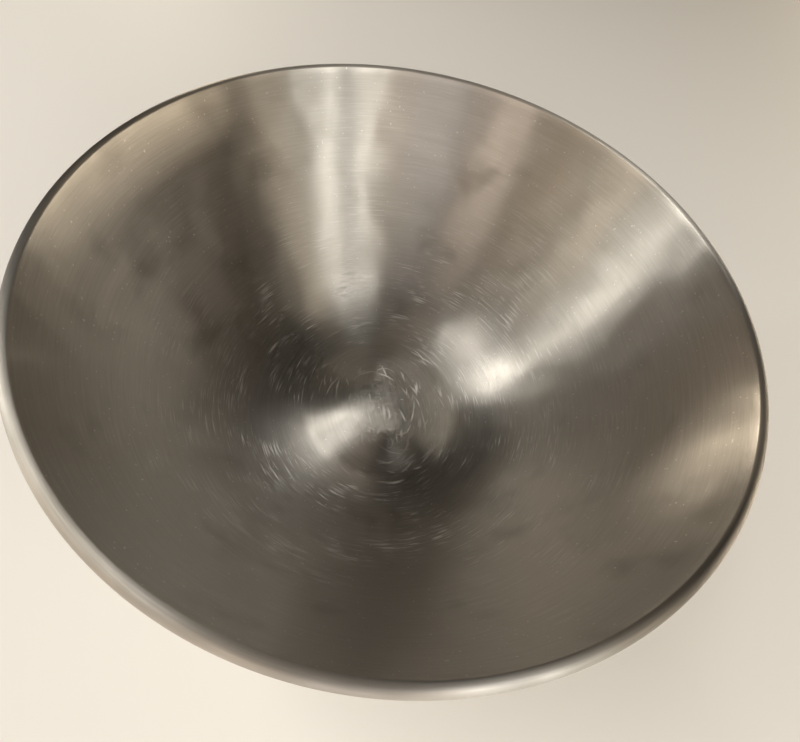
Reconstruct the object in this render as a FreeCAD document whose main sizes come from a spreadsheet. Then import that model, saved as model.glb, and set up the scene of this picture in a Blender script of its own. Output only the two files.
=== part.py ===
import FreeCAD, Part
import math
import os

import Sketcher

# Steel mixing bowl of a stand mixer: a drawn sheet shell with a rolled bead for a rim and a dome
# pressed up in its floor, on a pressed foot ring that is welded to its underside and locks it to
# the mixer. A crease runs round the inside where the sheet turns out of the wall into the bead.
# Millimetres. The origin is on the bowl's axis, in the plane it stands on. +Z is up.

DRIVING_SIZES = [
    # alias, value, what it is
    ("rim_diameter", 244.0, "outside of the rolled bead"),
    ("bowl_depth", 112.0, "inside, from the bead's top to the floor's lowest line"),
    ("sheet", 0.9, "thickness of the bowl's sheet"),
    ("bead_diameter", 4.8, "outside of the bead's own round section"),
    ("bead_inset", 0.6, "from the wall's inside face in to where the bead's full round would reach"),
    ("bead_end", 62.0, "degrees from level of the cut face that ends the bead's curl"),
    ("wall_radius", 300.0, "of the gentle curve of the wall in section, inside"),
    ("floor_radius", 46.0, "of the curve that joins the floor to the wall, inside"),
    ("trough_radius", 42.0, "from the axis to the floor's lowest line"),
    ("dome_rise", 8.0, "of the dome's top over the floor's lowest line"),
    ("dome_fillet", 15.0, "of the curve between the dome and the lowest line, inside"),
    ("foot_diameter", 108.0, "outside of the foot ring's wall"),
    ("foot_clearance", 11.0, "from the standing plane up to the bowl's lowest line, outside"),
    ("foot_sheet", 1.5, "thickness of the foot ring's sheet"),
    ("foot_bend", 3.5, "outside radius of the bend between the foot's wall and its flange"),
    ("flange_width", 11.0, "of the foot's inward flange, from the outside of its wall"),
    ("lug_reach", 3.0, "of a locking lug out of the foot's wall"),
    ("lug_height", 2.5, "of a locking lug"),
    ("lug_clearance", 4.5, "from the standing plane up to a lug"),
    ("lug_arc", 26.0, "degrees of the foot that one lug takes up"),
    ("lug_count", 4, "lugs, evenly spaced"),
]

document = FreeCAD.newDocument("mixer_bowl")
sizes = document.addObject("Spreadsheet::Sheet", "Sizes")
for row, (alias, value, meaning) in enumerate(DRIVING_SIZES, start=1):
    sizes.set(f"A{row}", meaning)
    sizes.set(f"B{row}", str(value))
    sizes.setAlias(f"B{row}", alias)
document.recompute()

size = {alias: value for alias, value, meaning in DRIVING_SIZES}

BEAD_CENTRE_R = "(Sizes.rim_diameter - Sizes.bead_diameter) / 2"
BEAD_CENTRE_Z = "Sizes.foot_clearance + Sizes.sheet + Sizes.bowl_depth - Sizes.bead_diameter / 2"

START, END, CENTRE = 1, 2, 3
X_AXIS, Y_AXIS = -1, -2
ORIGIN = (-1, 1)
QUARTER = math.pi / 2


def polar(centre, radius, angle):
    return (centre[0] + radius * math.cos(angle), centre[1] + radius * math.sin(angle))


class Section:
    """A sketch in a body's own XZ plane: x is the distance from the axis and y is the height."""

    def __init__(self, body, name):
        self.sketch = body.newObject("Sketcher::SketchObject", name)
        plane = next(item for item in body.Origin.OriginFeatures if item.Role == "XZ_Plane")
        self.sketch.AttachmentSupport = [(plane, "")]
        self.sketch.MapMode = "FlatFace"

    def arc(self, centre, radius, start, end):
        circle = Part.Circle(FreeCAD.Vector(*centre, 0), FreeCAD.Vector(0, 0, 1), radius)
        return self.sketch.addGeometry(Part.ArcOfCircle(circle, start, end))

    def line(self, start, end, construction=False):
        segment = Part.LineSegment(FreeCAD.Vector(*start, 0), FreeCAD.Vector(*end, 0))
        return self.sketch.addGeometry(segment, construction)

    def rule(self, kind, *where):
        return self.sketch.addConstraint(Sketcher.Constraint(kind, *where))

    def chain(self, *links):
        """Join the end of each edge to the start of the next; a link is (edge, point, edge, point)."""
        for link in links:
            self.rule("Coincident", *link)

    def dimension(self, name, expression, kind, *where):
        self.sketch.renameConstraint(self.rule(kind, *where), name)
        self.sketch.setExpression(f"Constraints.{name}", expression)

    def place(self, name, edge, point, across, up):
        """Fix a point by its distance from the axis and its height, as expressions or None."""
        spot = self.sketch.getPoint(edge, point)
        if across:
            self.dimension(f"{name}_r", across, "DistanceX", *ORIGIN, edge, point, spot.x)
        if up:
            self.dimension(f"{name}_z", up, "DistanceY", *ORIGIN, edge, point, spot.y)


def surface_guess(inset):
    """Where the arcs of one face of the bowl's sheet lie, before the sketch solves them.

    inset is how far the face lies outside the bowl's inner face.
    """
    lowest = size["foot_clearance"] + size["sheet"]
    rise = size["dome_rise"]
    trough = size["trough_radius"]
    fillet = size["dome_fillet"]
    floor = size["floor_radius"]
    wall = size["wall_radius"]
    bead = size["bead_diameter"] / 2
    dome = (trough**2 + rise**2) / (2 * rise) - fillet

    dome_centre = (0, lowest + rise - dome)
    fillet_centre = (trough, lowest + fillet)
    floor_centre = (trough, lowest + floor)
    bead_centre = (size["rim_diameter"] / 2 - bead, lowest + size["bowl_depth"] - bead)

    # the wall's circle touches the floor's from outside it and cuts a little into the bead's
    neck = bead - size["bead_inset"]
    to_bead = math.dist(floor_centre, bead_centre)
    slope = math.atan2(bead_centre[1] - floor_centre[1], bead_centre[0] - floor_centre[0])
    to_wall = wall - floor
    cosine = (to_bead**2 + to_wall**2 - (wall + neck)**2) / (2 * to_bead * to_wall)
    wall_centre = polar(floor_centre, to_wall, slope + math.acos(cosine))
    wall_angle = math.atan2(bead_centre[1] - wall_centre[1], bead_centre[0] - wall_centre[0])
    crease_angle = wall_angle + 2 * QUARTER - math.acos((neck - inset) / (bead - inset))
    return {
        "dome": (dome_centre, dome - inset),
        "fillet": (fillet_centre, fillet + inset),
        "floor": (floor_centre, floor + inset),
        "wall": (wall_centre, wall + inset),
        "bead": (bead_centre, bead - inset),
        "dome_angle": math.atan2(fillet_centre[1] - dome_centre[1], trough),
        "floor_angle": math.atan2(floor_centre[1] - wall_centre[1], floor_centre[0] - wall_centre[0]),
        "wall_angle": wall_angle,
        "crease_angle": crease_angle,
        "neck": neck - inset,
    }


def trace_face(section, face, inset, inset_cell):
    """Draw one face of the bowl's sheet from the axis up to its bead, and return its edges."""
    guess = surface_guess(inset)
    dome = section.arc(*guess["dome"], guess["dome_angle"], QUARTER)
    fillet = section.arc(*guess["fillet"], guess["dome_angle"] + 2 * QUARTER, 3 * QUARTER)
    floor = section.arc(*guess["floor"], -QUARTER, guess["floor_angle"])
    wall = section.arc(*guess["wall"], guess["floor_angle"], guess["wall_angle"])
    spoke = section.line(guess["bead"][0], polar(*guess["wall"], guess["wall_angle"]), True)

    section.rule("PointOnObject", dome, CENTRE, Y_AXIS)
    section.rule("PointOnObject", dome, END, Y_AXIS)
    section.rule("Tangent", dome, START, fillet, START)
    section.rule("Tangent", fillet, END, floor, START)
    section.rule("Tangent", floor, END, wall, START)
    section.rule("Vertical", fillet, CENTRE, floor, CENTRE)
    section.rule("Perpendicular", spoke, wall)

    lowest = f"Sizes.foot_clearance + Sizes.sheet - {inset_cell}"
    section.place(f"{face}_lowest", fillet, END, None, lowest)
    section.place(f"{face}_trough", fillet, CENTRE, "Sizes.trough_radius", None)
    section.place(f"{face}_dome_top", dome, END, None, f"{lowest} + Sizes.dome_rise")
    section.place(f"{face}_bead", spoke, START, BEAD_CENTRE_R, BEAD_CENTRE_Z)
    section.dimension(f"{face}_fillet", f"Sizes.dome_fillet + {inset_cell}",
                      "Radius", fillet, guess["fillet"][1])
    section.dimension(f"{face}_floor", f"Sizes.floor_radius + {inset_cell}",
                      "Radius", floor, guess["floor"][1])
    section.dimension(f"{face}_wall", f"Sizes.wall_radius + {inset_cell}",
                      "Radius", wall, guess["wall"][1])
    section.dimension(f"{face}_neck", f"Sizes.bead_diameter / 2 - Sizes.bead_inset - {inset_cell}",
                      "Distance", spoke, guess["neck"])
    return {"dome": dome, "wall": wall, "spoke": spoke, "guess": guess}


def curl(section, name, face, end_angle, inset_cell):
    """Draw one face of the bead, from its cut end over the top to the crease above the wall."""
    guess = face["guess"]
    edge = section.arc(*guess["bead"], end_angle, guess["crease_angle"])
    section.rule("PointOnObject", face["spoke"], END, face["wall"])
    section.rule("Coincident", edge, CENTRE, face["spoke"], START)
    section.rule("Coincident", edge, END, face["wall"], END)
    section.dimension(f"{name}_curl", f"Sizes.bead_diameter / 2 - {inset_cell}",
                      "Radius", edge, guess["bead"][1])
    return edge


def revolve(body, name, section, angle=360.0, kind="PartDesign::Revolution"):
    turn = body.newObject(kind, name)
    turn.Profile = section.sketch
    turn.ReferenceAxis = (section.sketch, ["V_Axis"])
    turn.Angle = angle
    section.sketch.Visibility = False
    body.Tip = turn
    return turn


def make_bowl_shell():
    """The drawn sheet: dome, floor, wall and bead in one piece, the same thickness all over."""
    body = document.addObject("PartDesign::Body", "bowl_shell")
    body.Label = "bowl_shell"
    section = Section(body, "SheetSection")
    inner = trace_face(section, "inner", 0, "0")
    outer = trace_face(section, "outer", size["sheet"], "Sizes.sheet")

    end_angle = math.radians(size["bead_end"]) - 2 * QUARTER
    inner_curl = curl(section, "inner", inner, end_angle, "0")
    outer_curl = curl(section, "outer", outer, end_angle, "Sizes.sheet")
    cut_end = section.line(polar(*inner["guess"]["bead"], end_angle),
                           polar(*outer["guess"]["bead"], end_angle))
    section.chain((cut_end, START, inner_curl, START), (cut_end, END, outer_curl, START))
    section.rule("PointOnObject", inner_curl, CENTRE, cut_end)
    section.dimension("bead_end", "Sizes.bead_end * 1 deg", "Angle", cut_end,
                      math.radians(size["bead_end"]))

    axis_edge = section.line(polar(*outer["guess"]["dome"], QUARTER),
                             polar(*inner["guess"]["dome"], QUARTER))
    section.chain((axis_edge, START, outer["dome"], END), (axis_edge, END, inner["dome"], END))
    document.recompute()
    revolve(body, "Sheet", section)
    return body


def make_foot_ring():
    """The pressed ring: a wall scribed to the bowl's underside, a flange to stand on, and lugs."""
    body = document.addObject("PartDesign::Body", "foot_ring")
    body.Label = "foot_ring"

    outside = size["foot_diameter"] / 2
    thick = size["foot_sheet"]
    bend = size["foot_bend"]
    flange = outside - size["flange_width"]
    blank_top = size["foot_clearance"] + size["floor_radius"]
    bend_centre = (outside - bend, bend)

    ring = Section(body, "RingSection")
    base = ring.line((flange, 0), (bend_centre[0], 0))
    outer_bend = ring.arc(bend_centre, bend, -QUARTER, 0)
    outer_wall = ring.line((outside, bend), (outside, blank_top))
    top = ring.line((outside, blank_top), (outside - thick, blank_top))
    inner_wall = ring.line((outside - thick, blank_top), (outside - thick, bend))
    inner_bend = ring.arc(bend_centre, bend - thick, -QUARTER, 0)
    flange_top = ring.line((bend_centre[0], thick), (flange, thick))
    flange_edge = ring.line((flange, thick), (flange, 0))
    ring.chain((outer_wall, END, top, START), (top, END, inner_wall, START),
               (flange_top, END, flange_edge, START), (flange_edge, END, base, START),
               (outer_bend, CENTRE, inner_bend, CENTRE))
    ring.rule("Tangent", base, END, outer_bend, START)
    ring.rule("Tangent", outer_bend, END, outer_wall, START)
    ring.rule("Tangent", inner_wall, END, inner_bend, END)
    ring.rule("Tangent", inner_bend, START, flange_top, START)
    ring.rule("PointOnObject", base, START, X_AXIS)
    ring.rule("Horizontal", base)
    ring.rule("Vertical", outer_wall)
    ring.rule("Horizontal", top)
    ring.rule("Vertical", flange_edge)
    ring.dimension("bend", "Sizes.foot_bend", "Radius", outer_bend, bend)
    ring.dimension("thick", "Sizes.foot_sheet", "Distance", top, thick)
    ring.place("wall", outer_wall, END, "Sizes.foot_diameter / 2",
               "Sizes.foot_clearance + Sizes.floor_radius")
    ring.place("flange", base, START, "Sizes.foot_diameter / 2 - Sizes.flange_width", None)
    document.recompute()
    revolve(body, "Ring", ring)

    # a lug starts inside the wall's thickness, so that it is one piece with it
    low = size["lug_clearance"]
    high = low + size["lug_height"]
    reach = outside + size["lug_reach"]
    root = outside - thick / 2
    lug = Section(body, "LugSection")
    under = lug.line((root, low), (reach, low))
    face = lug.line((reach, low), (reach, high))
    over = lug.line((reach, high), (root, high))
    back = lug.line((root, high), (root, low))
    lug.chain((under, END, face, START), (face, END, over, START),
              (over, END, back, START), (back, END, under, START))
    for edge, direction in ((under, "Horizontal"), (over, "Horizontal"),
                            (face, "Vertical"), (back, "Vertical")):
        lug.rule(direction, edge)
    lug.place("root", under, START, "(Sizes.foot_diameter - Sizes.foot_sheet) / 2",
              "Sizes.lug_clearance")
    lug.dimension("reach", "Sizes.lug_reach + Sizes.foot_sheet / 2", "Distance", under,
                  reach - root)
    lug.dimension("height", "Sizes.lug_height", "Distance", face, high - low)
    document.recompute()
    one_lug = revolve(body, "Lug", lug, size["lug_arc"])
    one_lug.setExpression("Angle", "Sizes.lug_arc * 1 deg")
    one_lug.Midplane = True
    document.recompute()

    lugs = body.newObject("PartDesign::PolarPattern", "Lugs")
    lugs.Originals = [one_lug]
    z_axis = next(item for item in body.Origin.OriginFeatures if item.Role == "Z_Axis")
    lugs.Axis = (z_axis, [""])
    lugs.Angle = 360.0
    lugs.setExpression("Occurrences", "Sizes.lug_count")
    body.Tip = lugs
    document.recompute()

    # everything above the bowl's underside is trimmed off, so the wall ends on the sheet
    scribe = Section(body, "ScribeSection")
    under_face = trace_face(scribe, "scribe", size["sheet"], "Sizes.sheet")
    rim = polar(*under_face["guess"]["wall"], under_face["guess"]["wall_angle"])
    crown = polar(*under_face["guess"]["dome"], QUARTER)
    cap = scribe.line(rim, (0, rim[1]))
    axis_edge = scribe.line((0, rim[1]), crown)
    scribe.chain((under_face["wall"], END, cap, START), (cap, END, axis_edge, START),
                 (axis_edge, END, under_face["dome"], END))
    scribe.rule("Coincident", under_face["spoke"], END, under_face["wall"], END)
    scribe.rule("Horizontal", cap)
    scribe.rule("Vertical", axis_edge)
    document.recompute()
    revolve(body, "ScribedTop", scribe, kind="PartDesign::Groove")
    return body


SUB_PARTS = [make_bowl_shell(), make_foot_ring()]
document.recompute()

for item in document.Objects:
    for fault in ("Invalid", "Error"):
        if fault in item.State:
            raise RuntimeError(f"{item.Label}: {item.State}")
for body in SUB_PARTS:
    shape = body.Shape
    if shape.isNull() or not shape.isValid() or len(shape.Solids) != 1:
        raise RuntimeError(f"{body.Label}: not one valid solid")

os.makedirs("parts", exist_ok=True)
for body in SUB_PARTS:
    body.Shape.exportStep(f"parts/{body.Label}.step")
    box = body.Shape.optimalBoundingBox()
    print(f"{body.Label}: {box.XLength:.2f} x {box.YLength:.2f} x {box.ZLength:.2f} mm,"
          f" from z {box.ZMin:.2f}, {body.Shape.Volume / 1000:.2f} cm3")
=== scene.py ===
import bpy
import bmesh
import math
from mathutils import Matrix, Quaternion, Vector


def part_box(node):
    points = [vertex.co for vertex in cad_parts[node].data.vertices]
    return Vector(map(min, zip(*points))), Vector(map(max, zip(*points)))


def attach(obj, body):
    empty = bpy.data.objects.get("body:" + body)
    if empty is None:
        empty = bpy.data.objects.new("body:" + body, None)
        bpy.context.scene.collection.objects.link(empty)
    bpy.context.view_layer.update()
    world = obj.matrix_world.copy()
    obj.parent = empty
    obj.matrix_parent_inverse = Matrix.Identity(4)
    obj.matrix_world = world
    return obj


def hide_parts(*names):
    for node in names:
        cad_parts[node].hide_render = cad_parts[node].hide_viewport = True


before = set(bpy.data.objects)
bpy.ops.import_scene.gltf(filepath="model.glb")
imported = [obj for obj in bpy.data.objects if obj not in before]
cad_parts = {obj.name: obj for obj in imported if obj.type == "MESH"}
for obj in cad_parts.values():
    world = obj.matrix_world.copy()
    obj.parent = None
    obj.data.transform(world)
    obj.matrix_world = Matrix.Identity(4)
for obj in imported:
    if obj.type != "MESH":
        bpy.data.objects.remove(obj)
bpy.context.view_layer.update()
print("frame loaded:", ", ".join(sorted(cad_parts)))

mm = 0.001
hair = 0.1 * mm                      # closer than this counts as on a surface


def linear(hexColour):
    # sRGB hex to the linear colour that sockets hold
    channels = [int(hexColour[i:i + 2], 16) / 255 for i in (1, 3, 5)]
    return [c / 12.92 if c <= 0.04045 else ((c + 0.055) / 1.055) ** 2.4 for c in channels] + [1]


def addNode(tree, kind, settings=None, inputs=None):
    # one node with its settings; an input is a value, a socket, or a node whose first output it takes
    node = tree.nodes.new("ShaderNode" + kind)
    for name, value in (settings or {}).items():
        setattr(node, name, value)
    for name, value in (inputs or {}).items():
        if isinstance(value, bpy.types.Node):
            value = value.outputs[0]
        if isinstance(value, bpy.types.NodeSocket):
            tree.links.new(value, node.inputs[name])
        else:
            node.inputs[name].default_value = value
    return node


def newMaterial(name):
    material = bpy.data.materials.new(name)
    material.use_nodes = True
    material.node_tree.nodes.clear()
    return material, material.node_tree


def newPiece(name, mesh, materials):
    # a finished bmesh becomes an object at the origin
    for face in mesh.faces:
        face.smooth = True
    data = bpy.data.meshes.new(name)
    mesh.to_mesh(data)
    mesh.free()
    for material in materials:
        data.materials.append(material)
    piece = bpy.data.objects.new(name, data)
    bpy.context.scene.collection.objects.link(piece)
    return piece


def spin(outline, closed, turns):
    # an outline of (distance from the axis, height) turned once round the axis
    mesh = bmesh.new()
    ring = [mesh.verts.new((r, 0, z)) for r, z in outline]
    edges = [mesh.edges.new(pair) for pair in zip(ring, ring[1:])]
    if closed:
        edges.append(mesh.edges.new((ring[-1], ring[0])))
    bmesh.ops.spin(mesh, geom=ring + edges, axis=(0, 0, 1), cent=(0, 0, 0),
                   angle=2 * math.pi, steps=turns, use_merge=True)
    bmesh.ops.remove_doubles(mesh, verts=mesh.verts, dist=0.01 * mm)
    bmesh.ops.recalc_face_normals(mesh, faces=mesh.faces)
    return mesh


def arcPoints(centre, radius, start, end, steps):
    sweep = (end - start) / steps
    return [(centre[0] + radius * math.cos(start + sweep * i),
             centre[1] + radius * math.sin(start + sweep * i)) for i in range(steps + 1)]


def outFrom(point):
    return math.hypot(point.x, point.y)


# where things are, from the frame
shellLow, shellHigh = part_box("bowl_shell")
footLow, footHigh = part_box("foot_ring")
rimRadius = (shellHigh.x - shellLow.x) / 2
rimTop = shellHigh.z

# ---- what every steel finish shares

swirl = {
    "halfMm": 17,                    # brushing goes round two points, so far each way from the axis
    "turn": math.radians(115),       # from +X, of the line through them
}


def swirlRound(tree, aside=(0, 0)):
    # how far out a place is, and the way outwards, for marks that run round in long ovals near the
    # axis and in circles further out; aside is their middle, in millimetres
    place = addNode(tree, "TexCoord").outputs["Object"]
    flat = addNode(tree, "VectorMath", {"operation": "MULTIPLY"}, {0: place, 1: (1, 1, 0)})
    ways = []
    spans = []
    for side in (1, -1):
        x = (aside[0] + side * swirl["halfMm"] * math.cos(swirl["turn"])) * mm
        y = (aside[1] + side * swirl["halfMm"] * math.sin(swirl["turn"])) * mm
        away = addNode(tree, "VectorMath", {"operation": "SUBTRACT"}, {0: flat, 1: (x, y, 0)})
        ways.append(addNode(tree, "VectorMath", {"operation": "NORMALIZE"}, {0: away}))
        spans.append(addNode(tree, "VectorMath", {"operation": "LENGTH"}, {0: away}).outputs["Value"])
    total = addNode(tree, "Math", {"operation": "ADD"}, {0: spans[0], 1: spans[1]})
    distance = addNode(tree, "Math", {"operation": "MULTIPLY"}, {0: total, 1: 0.5})
    outwards = addNode(tree, "VectorMath", {"operation": "ADD"}, {0: ways[0], 1: ways[1]})
    return distance, addNode(tree, "VectorMath", {"operation": "NORMALIZE"}, {0: outwards})


def runningLines(tree, lineMm, arcMm, between=(0.3, 0.7), aside=(0, 0), detail=1.0):
    # 0 to 1: lines that run round, lineMm apart and about arcMm long; between holds the grain's
    # values where a line begins and where it is full
    distance = swirlRound(tree, aside)[0]
    place = addNode(tree, "TexCoord").outputs["Object"]
    rise = addNode(tree, "SeparateXYZ", inputs={0: place}).outputs["Z"]
    along = addNode(tree, "Math", {"operation": "ADD"}, {0: distance, 1: rise})
    count = addNode(tree, "Math", {"operation": "MULTIPLY"}, {0: along, 1: 1 / (lineMm * mm)})
    across = addNode(tree, "CombineXYZ", inputs={"Z": count})
    around = addNode(tree, "VectorMath", {"operation": "SCALE"}, {0: place, "Scale": 1 / (arcMm * mm)})
    spot = addNode(tree, "VectorMath", {"operation": "ADD"}, {0: around, 1: across})
    grain = addNode(tree, "TexNoise", inputs={
        "Vector": spot, "Scale": 1.0, "Detail": detail, "Roughness": 0.6})
    return addNode(tree, "MapRange", inputs={
        "Value": grain, "From Min": between[0], "From Max": between[1]})


def patches(tree, sizeMm, between=(0.3, 0.7), detail=1.0, offset=0):
    # 0 to 1: soft patches about sizeMm across; offset, in metres, tells one set from another
    place = addNode(tree, "TexCoord").outputs["Object"]
    moved = addNode(tree, "VectorMath", {"operation": "ADD"}, {0: place, 1: (offset, offset, offset)})
    grain = addNode(tree, "TexNoise", inputs={
        "Vector": moved, "Scale": 1 / (sizeMm * mm), "Detail": detail})
    return addNode(tree, "MapRange", {"interpolation_type": "SMOOTHSTEP"},
                   {"Value": grain, "From Min": between[0], "From Max": between[1]})


def withMarks(tree, base, marks):
    # a number with each mark added to it, times its share
    for mark, share in marks:
        base = addNode(tree, "Math", {"operation": "MULTIPLY_ADD"}, {0: mark, 1: share, 2: base})
    return base


def withTints(tree, base, tints):
    # a colour with each tint laid over it where its mark is, at its share
    for mark, share, tint in tints:
        cover = addNode(tree, "Math", {"operation": "MULTIPLY"}, {0: mark, 1: share})
        mixed = addNode(tree, "Mix", {"data_type": "RGBA"}, {0: cover, 6: base, 7: linear(tint)})
        base = mixed.outputs[2]
    return base


def steelShader(tree, finish, colour, roughness, heightMm, wander=(0, 0, 0)):
    # metal whose lines run round, turned aside by wander: it spreads light across them, and
    # little along them
    outwards = swirlRound(tree)[1]
    lineWay = addNode(tree, "VectorMath", {"operation": "CROSS_PRODUCT"}, {0: (0, 0, 1), 1: outwards})
    tangent = addNode(tree, "VectorMath", {"operation": "ADD"}, {0: lineWay, 1: wander})
    bump = addNode(tree, "Bump", inputs={"Height": heightMm, "Strength": 1.0, "Distance": mm})
    shader = addNode(tree, "BsdfPrincipled", inputs={
        "Base Color": colour, "Metallic": 1.0, "Roughness": roughness, "Normal": bump,
        "Anisotropic": finish["anisotropy"], "Anisotropic Rotation": 0.25, "Tangent": tangent})
    addNode(tree, "OutputMaterial", inputs={"Surface": shader})


# ---- the bowl's inside: stainless steel brushed round the axis on a lathe, then scoured in use.
# The eye gets a fan of soft streaks from the middle, fine lines across them, short bright arcs
# where whisks and scouring pads rubbed, their brightness partly a painted highlight in their colour, and
# dull clouds where water dried.

brushed = {
    "steel": "#B1ACA4",
    "bareAndGlint": "#EFEDE8",       # pale steel of fresh scratches, lines and specks; on the scratches it is also a painted highlight, the glint they scatter
    "stain": "#857D71",
    "roughness": 0.34,
    "anisotropy": 0.9,
    "lineMm": 0.55,          # real lines are about 0.1 apart, too fine to show
    "arcMm": 20,
    "lineDeepMm": 0.017,
    "scratchMm": 1.0,        # spacing; a scratch is about a quarter as wide
    "scratchArcMm": 11,
    "scratchDeepMm": 0.03,
    "scratchMiddles": ((4, 2), (-5, 4), (1, -7)),  # millimetres from the axis
    "scouredMm": (72, 110),  # from the axis: whisks and pads reach as far as the first, fading out
    "scouredLeft": 0.15,     # share of their marks that is left beyond
    "rubMm": 0.5,            # over the dome the fine lines are turned every way in spots of this size
    "rubTurn": (3.0, 0.2),   # how strongly, at the axis and away from it
    "rubEndMm": 34,
    "pitMm": 0.5,
    "pitDeepMm": 0.004,
    "swellMm": 32,           # the sheet isn't quite true
    "swellDeepMm": 0.3,
    "padMm": 24,             # patches where a pad scratched more
    "stainMm": 24,
    "speckMm": 1.0,
}


def brushedInside():
    finish = brushed
    material, tree = newMaterial("stainless_brushed_on_lathe")
    distance = swirlRound(tree)[0]
    reach, gone = finish["scouredMm"]
    scoured = addNode(tree, "MapRange", {"interpolation_type": "SMOOTHSTEP"}, {
        "Value": distance, "From Min": reach * mm, "From Max": gone * mm,
        "To Min": 1.0, "To Max": finish["scouredLeft"]})
    lines = runningLines(tree, finish["lineMm"], finish["arcMm"], detail=2.0)
    bands = runningLines(tree, 5 * finish["lineMm"], 4 * finish["arcMm"])
    pits = patches(tree, finish["pitMm"])
    swell = patches(tree, finish["swellMm"], offset=0.3)
    padded = patches(tree, finish["padMm"], (0.37, 0.6), offset=0.7)
    dried = patches(tree, finish["stainMm"], (0.56, 0.8), 2.0, 1.1)
    specks = patches(tree, finish["speckMm"], (0.79, 0.85), 0.0, 0.5)

    # a scratch runs nearly round the axis, round a middle a little aside from it
    scratchesAndGlints = 0.0
    for middle in finish["scratchMiddles"]:
        scratchGlintArcs = runningLines(tree, finish["scratchMm"], finish["scratchArcMm"], (0.65, 0.79), middle, 0.5)
        scratchesAndGlints = addNode(tree, "Math", {"operation": "MAXIMUM"}, {0: scratchGlintArcs, 1: scratchesAndGlints})
    for mask in (scoured, padded):
        scratchesAndGlints = addNode(tree, "Math", {"operation": "MULTIPLY"}, {0: scratchesAndGlints, 1: mask})
    deepLines = addNode(tree, "Math", {"operation": "MULTIPLY"}, {0: lines, 1: scoured})

    # the scratches' pale tint at full share stands in for the light they scatter: a painted highlight on
    # real scratch marks
    colour = withTints(tree, linear(finish["steel"]), (
        (lines, 0.16, finish["bareAndGlint"]), (scratchesAndGlints, 1.0, finish["bareAndGlint"]),
        (dried, 0.4, finish["stain"]), (specks, 0.6, finish["bareAndGlint"])))
    roughness = withMarks(tree, finish["roughness"] - 0.05, (
        (lines, 0.05), (bands, 0.03), (pits, 0.05), (scratchesAndGlints, 0.3), (dried, 0.05), (scoured, 0.03)))
    height = withMarks(tree, 0.0, (
        (deepLines, finish["lineDeepMm"]), (pits, finish["pitDeepMm"]),
        (swell, finish["swellDeepMm"]), (scratchesAndGlints, -finish["scratchDeepMm"])))

    # rubbing over the dome turns the lines aside
    place = addNode(tree, "TexCoord").outputs["Object"]
    rub = addNode(tree, "TexNoise", inputs={
        "Vector": place, "Scale": 1 / (finish["rubMm"] * mm), "Detail": 0.0})
    eitherWay = addNode(tree, "VectorMath", {"operation": "SUBTRACT"}, {
        0: rub.outputs["Color"], 1: (0.5, 0.5, 0.5)})
    strength = addNode(tree, "MapRange", {"interpolation_type": "SMOOTHSTEP"}, {
        "Value": distance, "From Min": swirl["halfMm"] * mm, "From Max": finish["rubEndMm"] * mm,
        "To Min": finish["rubTurn"][0], "To Max": finish["rubTurn"][1]})
    wander = addNode(tree, "VectorMath", {"operation": "SCALE"}, {0: eitherWay, "Scale": strength})
    steelShader(tree, finish, colour, roughness, height, wander)
    return material


# ---- the rolled bead: the same sheet, dressed with a finer belt after it was curled. It gives soft,
# even highlights that follow the rim, with fine lines along it and small knocks.

dressed = {
    "steel": "#C4BFB7",
    "worn": "#A8A298",
    "roughness": 0.48,
    "anisotropy": 0.85,
    "lineMm": 0.45,
    "arcMm": 45,
    "lineDeepMm": 0.006,
    "knockMm": 2.2,
    "knockDeepMm": 0.015,
    "handledMm": 28,
}


def dressedBead():
    finish = dressed
    material, tree = newMaterial("stainless_belt_dressed")
    lines = runningLines(tree, finish["lineMm"], finish["arcMm"], detail=2.0)
    knocks = patches(tree, finish["knockMm"], (0.68, 0.76), offset=0.2)
    handled = patches(tree, finish["handledMm"], (0.4, 0.65), 2.0, 0.9)
    colour = withTints(tree, linear(finish["steel"]), (
        (handled, 0.5, finish["worn"]), (lines, 0.3, finish["worn"])))
    roughness = withMarks(tree, finish["roughness"] - 0.06, ((lines, 0.12), (handled, 0.05)))
    height = withMarks(tree, 0.0, (
        (lines, finish["lineDeepMm"]), (knocks, -finish["knockDeepMm"])))
    steelShader(tree, finish, colour, roughness, height)
    return material


# ---- the outside: spun to a satin, duller and more even than the inside, with the light rubs and
# dried drops of handling and washing.

satin = {
    "steel": "#C4C0B9",
    "stain": "#A39C91",
    "roughness": 0.4,
    "anisotropy": 0.75,
    "lineMm": 0.7,
    "arcMm": 40,
    "lineDeepMm": 0.008,
    "bandDeepMm": 0.02,
    "rubMm": 1.8,
    "rubArcMm": 12,
    "rubMiddle": (30, -24),  # millimetres from the axis
    "rubDeepMm": 0.012,
    "dropMm": 16,
}


def satinOutside():
    finish = satin
    material, tree = newMaterial("stainless_satin_spun")
    lines = runningLines(tree, finish["lineMm"], finish["arcMm"], detail=2.0)
    bands = runningLines(tree, 5 * finish["lineMm"], 5 * finish["arcMm"])
    rubs = runningLines(tree, finish["rubMm"], finish["rubArcMm"], (0.7, 0.78), finish["rubMiddle"], 0.5)
    drops = patches(tree, finish["dropMm"], (0.55, 0.8), 2.0, 0.4)
    colour = withTints(tree, linear(finish["steel"]), ((drops, 0.3, finish["stain"]),))
    roughness = withMarks(tree, finish["roughness"] - 0.06, (
        (lines, 0.08), (bands, 0.05), (rubs, 0.12)))
    height = withMarks(tree, 0.0, (
        (lines, finish["lineDeepMm"]), (bands, finish["bandDeepMm"]), (rubs, -finish["rubDeepMm"])))
    steelShader(tree, finish, colour, roughness, height)
    return material


# ---- the foot: pressed from thicker sheet and left as it came from the press, a finely pitted
# satin. It is rubbed bright where it stands, and straw and blue from heat beside its weld.

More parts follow.
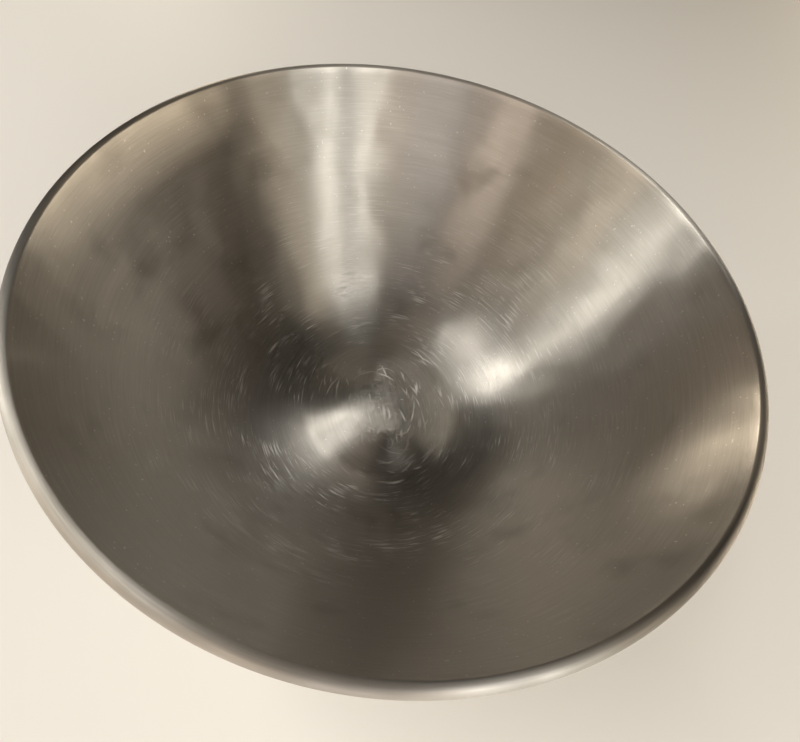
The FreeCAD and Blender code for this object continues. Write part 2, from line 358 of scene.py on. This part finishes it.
pressed = {
    "steel": "#BBB7B0",
    "rubbed": "#DAD7D1",
    "straw": "#B79A63",
    "blue": "#6E7384",
    "roughness": 0.42,
    "anisotropy": 0.4,
    "heatMm": (4.0, 1.8),    # how far below the weld the straw and the blue begin
    "raggedMm": 1.2,         # how uneven the edges of the heat and of the rubbed part are
    "raggedPatchMm": 6,
    "rubbedMm": (0.8, 1.8),  # heights between which the rubbing ends
    "lineMm": 0.8,
    "arcMm": 30,
    "lineDeepMm": 0.006,
    "pitMm": 0.6,
    "pitDeepMm": 0.01,
}


def pressedFoot():
    finish = pressed
    material, tree = newMaterial("stainless_pressed")
    place = addNode(tree, "TexCoord").outputs["Object"]
    height = addNode(tree, "SeparateXYZ", inputs={0: place}).outputs["Z"]
    uneven = patches(tree, finish["raggedPatchMm"], detail=2.0)
    ragged = withMarks(tree, height, ((uneven, finish["raggedMm"] * mm),))
    heat = []
    for below in finish["heatMm"]:
        heat.append(addNode(tree, "MapRange", {"interpolation_type": "SMOOTHSTEP"}, {
            "Value": ragged, "From Min": footHigh.z - below * mm,
            "From Max": footHigh.z - 0.4 * below * mm}))
    full, none = finish["rubbedMm"]
    stood = addNode(tree, "MapRange", {"interpolation_type": "SMOOTHSTEP"}, {
        "Value": ragged, "From Min": full * mm, "From Max": none * mm, "To Min": 1.0, "To Max": 0.0})
    lines = runningLines(tree, finish["lineMm"], finish["arcMm"], detail=2.0)
    pits = patches(tree, finish["pitMm"])
    colour = withTints(tree, linear(finish["steel"]), (
        (heat[0], 0.5, finish["straw"]), (heat[1], 0.6, finish["blue"]), (stood, 1.0, finish["rubbed"])))
    roughness = withMarks(tree, finish["roughness"] - 0.05, ((lines, 0.1), (stood, -0.12)))
    relief = withMarks(tree, 0.0, ((lines, finish["lineDeepMm"]), (pits, finish["pitDeepMm"])))
    steelShader(tree, finish, colour, roughness, relief)
    return material


# ---- the weld: a fine seam run without filler, in small overlapping ripples, wire-brushed after.

welded = {
    "steel": "#9C978F",
    "blue": "#5F6678",
    "roughness": 0.45,
    "anisotropy": 0.2,
    "bluedMm": 5,
    "wireMm": 0.4,           # marks of the wire brush
    "wireDeepMm": 0.02,
}


def weldSeam():
    finish = welded
    material, tree = newMaterial("stainless_weld_seam")
    blued = patches(tree, finish["bluedMm"], (0.4, 0.62), 2.0)
    wired = patches(tree, finish["wireMm"], detail=2.0)
    colour = withTints(tree, linear(finish["steel"]), ((blued, 0.8, finish["blue"]),))
    roughness = withMarks(tree, finish["roughness"] - 0.1, ((wired, 0.2),))
    relief = withMarks(tree, 0.0, ((wired, finish["wireDeepMm"]),))
    steelShader(tree, finish, colour, roughness, relief)
    return material


print("materials")
insideSteel = brushedInside()
beadSteel = dressedBead()
outsideSteel = satinOutside()
footSteel = pressedFoot()
weldSteel = weldSeam()

# ---- the bowl

bowl = {
    "sheet": 0.9 * mm,
    "bead": 4.8 * mm,            # outside diameter of the rolled bead
    "beadInset": 0.6 * mm,       # how far the wall cuts into the bead's full round, for the crease
    "beadEnd": math.radians(62),  # slant of the cut face that ends the curl
    "crease": 0.22 * mm,         # rounding of the crease and of the curl's cut end
    "sharp": math.radians(20),   # edges that turn more than this are rounded
    "wallCurve": 300 * mm,
    "floorCurve": 46 * mm,
    "trough": 42 * mm,
    "domeRise": 8 * mm,
    "domeFillet": 15 * mm,
    "turns": 288,                # segments round the axis
}


def bowlSection():
    # the arcs of the sheet's inside face, each a centre and a radius, and the angles where they meet
    lowest = shellLow.z + bowl["sheet"]
    trough, fillet = bowl["trough"], bowl["domeFillet"]
    floor, wall, bead = bowl["floorCurve"], bowl["wallCurve"], bowl["bead"] / 2
    neck = bead - bowl["beadInset"]
    dome = (trough ** 2 + bowl["domeRise"] ** 2) / (2 * bowl["domeRise"]) - fillet
    domeCentre = (0, lowest + bowl["domeRise"] - dome)
    filletCentre = (trough, lowest + fillet)
    floorCentre = (trough, lowest + floor)
    beadCentre = (rimRadius - bead, rimTop - bead)
    toBead = math.dist(floorCentre, beadCentre)
    slope = math.atan2(beadCentre[1] - floorCentre[1], beadCentre[0] - floorCentre[0])
    toWall = wall - floor
    swing = math.acos((toBead ** 2 + toWall ** 2 - (wall + neck) ** 2) / (2 * toBead * toWall))
    wallCentre = (floorCentre[0] + toWall * math.cos(slope + swing),
                  floorCentre[1] + toWall * math.sin(slope + swing))
    return {
        "dome": (domeCentre, dome),
        "fillet": (filletCentre, fillet),
        "floor": (floorCentre, floor),
        "wall": (wallCentre, wall),
        "bead": (beadCentre, bead),
        "neck": neck,
        "domeAngle": math.atan2(filletCentre[1] - domeCentre[1], trough),
        "floorAngle": math.atan2(floorCentre[1] - wallCentre[1], floorCentre[0] - wallCentre[0]),
        "wallAngle": math.atan2(beadCentre[1] - wallCentre[1], beadCentre[0] - wallCentre[0]),
    }


def sheetFace(section, inset):
    # one face of the sheet from the axis to the crease, inset under the inside face, and the
    # crease's angle
    beadCentre, bead = section["bead"]
    creaseAngle = section["wallAngle"] + math.pi - math.acos((section["neck"] - inset) / (bead - inset))
    crease = (beadCentre[0] + (bead - inset) * math.cos(creaseAngle),
              beadCentre[1] + (bead - inset) * math.sin(creaseAngle))
    wallCentre, wall = section["wall"]
    wallEnd = math.atan2(crease[1] - wallCentre[1], crease[0] - wallCentre[0])
    (domeCentre, dome), (filletCentre, fillet), (floorCentre, floor) = (
        section["dome"], section["fillet"], section["floor"])
    points = arcPoints(domeCentre, dome - inset, math.pi / 2, section["domeAngle"], 16)
    points += arcPoints(filletCentre, fillet + inset, section["domeAngle"] + math.pi,
                        1.5 * math.pi, 8)[1:]
    points += arcPoints(floorCentre, floor + inset, -math.pi / 2, section["floorAngle"], 18)[1:]
    points += arcPoints(wallCentre, wall + inset, section["floorAngle"], wallEnd, 32)[1:]
    return points, creaseAngle


def makeBowl():
    section = bowlSection()
    beadCentre, bead = section["bead"]
    inside, insideCrease = sheetFace(section, 0)
    outside, outsideCrease = sheetFace(section, bowl["sheet"])
    creaseHeight = beadCentre[1] + bead * math.sin(insideCrease)
    curlEnd = bowl["beadEnd"] - math.pi
    over = arcPoints(beadCentre, bead, insideCrease, curlEnd, 32)
    under = arcPoints(beadCentre, bead - bowl["sheet"], curlEnd, outsideCrease, 20)
    mesh = spin(inside + over[1:] + under[:-1] + outside[::-1], False, bowl["turns"])

    # the crease and the curl's cut end are rounded
    corners = [edge for edge in mesh.edges if len(edge.link_faces) == 2
               and edge.calc_face_angle() > bowl["sharp"]
               and outFrom(edge.verts[0].co) > beadCentre[0] - bead]
    bmesh.ops.bevel(mesh, geom=corners, affect="EDGES", offset=bowl["crease"], segments=2,
                    profile=0.5, material=-1)

    for face in mesh.faces:
        middle = face.calc_center_median()
        fromBead = math.dist((outFrom(middle), middle.z), beadCentre)
        onWall = outFrom(middle) < beadCentre[0] and middle.z < creaseHeight
        if fromBead < bead + hair and not onWall:
            face.material_index = 1
        elif face.normal.z < 0:
            face.material_index = 2
    return newPiece("bowl_steel", mesh, (insideSteel, beadSteel, outsideSteel))


print("bowl")
bowlPiece = makeBowl()
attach(bowlPiece, "root")
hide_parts("bowl_shell")

# ---- the foot

foot = {
    "lugReach": 3 * mm,
    "lugLow": 4.5 * mm,
    "lugHigh": 7 * mm,
    "lugHalfArc": math.radians(13),
    "lugs": 4,
    "lugRound": 0.45 * mm,
    "sheet": 1.5 * mm,
    "bend": 3.5 * mm,            # outside radius between the wall and the flange
    "flange": 11 * mm,
    "edgeRound": 0.35 * mm,
    "sharp": math.radians(60),   # edges that turn more than this may be rounded
    "crisp": math.radians(50),   # and past this the shading breaks
    "turns": 360,
}
footOut = footHigh.x - foot["lugReach"]


def undersideHeight(distance):
    # of the bowl's underside over the foot, outside the floor's lowest line
    radius = bowl["floorCurve"] + bowl["sheet"]
    centre = shellLow.z + radius
    return centre - math.sqrt(radius ** 2 - (distance - bowl["trough"]) ** 2)


def makeFoot():
    low, inner = footLow.z, footOut - foot["sheet"]
    flangeEdge = footOut - foot["flange"]
    bendCentre = (footOut - foot["bend"], low + foot["bend"])
    outline = [(flangeEdge, low)]
    outline += arcPoints(bendCentre, foot["bend"], -math.pi / 2, 0, 10)
    outline += [(footOut, low + foot["lugLow"]), (footOut, low + foot["lugHigh"])]
    outline += [(footOut, undersideHeight(footOut)), (inner, undersideHeight(inner))]
    outline += arcPoints(bendCentre, foot["bend"] - foot["sheet"], 0, -math.pi / 2, 8)
    outline += [(flangeEdge, low + foot["sheet"])]
    mesh = spin(outline, True, foot["turns"])

    # the lugs are drawn out of the wall
    def onLug(face):
        middle = face.calc_center_median()
        turn = 2 * math.pi / foot["lugs"]
        angle = math.atan2(middle.y, middle.x)
        off = abs(angle - turn * round(angle / turn))
        return (outFrom(middle) > footOut - hair and off < foot["lugHalfArc"]
                and low + foot["lugLow"] < middle.z < low + foot["lugHigh"])

    drawn = bmesh.ops.extrude_face_region(mesh, geom=[face for face in mesh.faces if onLug(face)])
    grow = (footOut + foot["lugReach"]) / footOut
    for item in drawn["geom"]:
        if isinstance(item, bmesh.types.BMVert):
            item.co.x *= grow
            item.co.y *= grow
    bmesh.ops.recalc_face_normals(mesh, faces=mesh.faces)

    sharp = [edge for edge in mesh.edges if len(edge.link_faces) == 2
             and edge.calc_face_angle() > foot["sharp"]]
    lugEdges = [edge for edge in sharp
                if min(outFrom(vert.co) for vert in edge.verts) > footOut + foot["lugReach"] / 3]
    flangeEdges = [edge for edge in sharp if outFrom(edge.verts[0].co) < flangeEdge + hair]
    bmesh.ops.bevel(mesh, geom=lugEdges, affect="EDGES", offset=foot["lugRound"], segments=3,
                    profile=0.5, material=-1)
    bmesh.ops.bevel(mesh, geom=[edge for edge in flangeEdges if edge.is_valid], affect="EDGES",
                    offset=foot["edgeRound"], segments=2, profile=0.5, material=-1)
    return newPiece("foot_pressing", mesh, (footSteel,))


print("foot")
footPiece = makeFoot()
footPiece.data.set_sharp_from_angle(angle=foot["crisp"])
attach(footPiece, "root")
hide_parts("foot_ring")

# ---- the weld in the corner between the foot's wall and the bowl's underside

weld = {
    "radius": 0.8 * mm,
    "out": 0.15 * mm,            # of its middle, from the outside of the foot's wall
    "down": 0.3 * mm,            # of its middle, from the bowl's underside
    "sides": 12,
    "ripples": 190,
    "rippleDeep": 0.12,          # share of the seam's radius
    "uneven": 0.4,               # how much the ripples' depth changes on the way round
    "unevenTimes": 7,
}


def makeWeld():
    centre = (footOut + weld["out"], undersideHeight(footOut) - weld["down"])
    outline = arcPoints(centre, weld["radius"], 0, 2 * math.pi, weld["sides"])[:-1]
    mesh = spin(outline, True, 4 * weld["ripples"])
    for vert in mesh.verts:
        turn = math.atan2(vert.co.y, vert.co.x)
        ripple = abs(math.sin(weld["ripples"] * turn / 2))
        depth = 1 + weld["uneven"] * math.sin(weld["unevenTimes"] * turn)
        shrink = weld["rippleDeep"] * (1 - ripple) * depth
        middle = Vector((centre[0] * math.cos(turn), centre[0] * math.sin(turn), centre[1]))
        vert.co = vert.co.lerp(middle, shrink)
    return newPiece("foot_weld", mesh, (weldSteel,))


print("weld")
weldPiece = makeWeld()
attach(weldPiece, "root")

# ---- floor, light and camera

studio = {
    "floor": "#EDEBE6",
    "floorSize": 6,              # metres
    "air": "#B8B0A4",            # weak light from everywhere
    "airStrength": 0.02,
    "lightsOff": 1.3,            # metres from the bowl
    "lightsAt": 0.1,             # height of what they face
}

print("stage")
bpy.ops.mesh.primitive_plane_add(size=studio["floorSize"], location=(0, 0, 0))
floor = bpy.context.object
floor.name = "floor"
floorMaterial, floorTree = newMaterial("floor_pale")
floorShader = addNode(floorTree, "BsdfPrincipled", inputs={
    "Base Color": linear(studio["floor"]), "Roughness": 0.7})
addNode(floorTree, "OutputMaterial", inputs={"Surface": floorShader})
floor.data.materials.append(floorMaterial)

scene = bpy.context.scene
scene.view_settings.view_transform = "Standard"
world = bpy.data.worlds.new("studio")
scene.world = world
world.use_nodes = True
background = world.node_tree.nodes["Background"]
background.inputs["Color"].default_value = linear(studio["air"])
background.inputs["Strength"].default_value = studio["airStrength"]


def compass(azimuth, elevation):
    # a direction; azimuth is measured from +X towards +Y
    a, e = math.radians(azimuth), math.radians(elevation)
    return Vector((math.cos(a) * math.cos(e), math.sin(a) * math.cos(e), math.sin(e)))


def softLight(name, start, end, width, power, colour):
    # a strip of light from one direction to another, facing the bowl
    middleOfBowl = Vector((0, 0, studio["lightsAt"]))
    first = middleOfBowl + compass(*start) * studio["lightsOff"]
    last = middleOfBowl + compass(*end) * studio["lightsOff"]
    data = bpy.data.lights.new(name, "AREA")
    data.shape = "RECTANGLE"
    data.size = width
    data.size_y = (last - first).length
    data.energy = power
    data.color = linear(colour)[:3]
    light = bpy.data.objects.new(name, data)
    middle = (first + last) / 2
    along = (last - first).normalized()
    back = middle - middleOfBowl
    back = (back - along * back.dot(along)).normalized()
    side = along.cross(back)
    light.matrix_world = Matrix.Translation(middle) @ Matrix((side, along, back)).transposed().to_4x4()
    scene.collection.objects.link(light)


# each makes one streak or shade in the brushed steel: start and end as azimuth and elevation in
# degrees, width in metres, power in watts
softLight("left_strip", (160, 60), (186, 12), 0.16, 5.0, "#FFFCF6")
softLight("left_top", (156, 61), (212, 60), 0.2, 3.6, "#FFFCF6")
softLight("back_strip_left", (300, 10), (306, 50), 0.06, 2.6, "#FFFDF8")
softLight("back_strip_right", (316, 10), (322, 50), 0.06, 3.2, "#FFFDF8")
softLight("room_far_left", (205, 6), (203, 28), 0.3, 1.5, "#FFEFD8")
softLight("room_left", (225, 6), (225, 32), 0.45, 1.2, "#FFE6C8")
softLight("room_middle", (250, 6), (250, 32), 0.45, 2.8, "#FFEEDF")
softLight("room_right", (275, 6), (275, 32), 0.45, 2.3, "#FFF6F0")
softLight("room_by_strips", (293, 6), (293, 32), 0.3, 1.3, "#FFF2E2")
softLight("room_far_right", (335, 8), (340, 50), 0.3, 1.4, "#FFEFD8")
softLight("low_right", (-10, 4), (52, 4), 0.1, 5.0, "#FFEED4")
softLight("right_strip", (126, 4), (120, 12), 0.15, 3.2, "#FFF0DA")
softLight("overhead", (180, 78), (0, 88), 0.4, 0.5, "#FFF0E0")

view = {
    "aboveRim": 116.6 * mm,      # of the lens over the bead's top
    "besideAxis": 115.3 * mm,    # of the lens from the bowl's axis
    "aim": (2.8 * mm, -42.4 * mm, -2.2 * mm),  # where it looks, from the middle of the rim's top
    "roll": math.radians(15.46),
    "lens": 21.375,
}
camera = bpy.data.objects.new("camera", bpy.data.cameras.new("camera"))
camera.data.lens = view["lens"]
camera.data.sensor_width = 36
camera.data.clip_start = 0.01
camera.location = (0, -view["besideAxis"], rimTop + view["aboveRim"])
look = Vector((0, 0, rimTop)) + Vector(view["aim"]) - camera.location
turned = look.to_track_quat("-Z", "Y") @ Quaternion((0, 0, 1), view["roll"])
camera.rotation_euler = turned.to_euler()
scene.collection.objects.link(camera)
scene.camera = camera
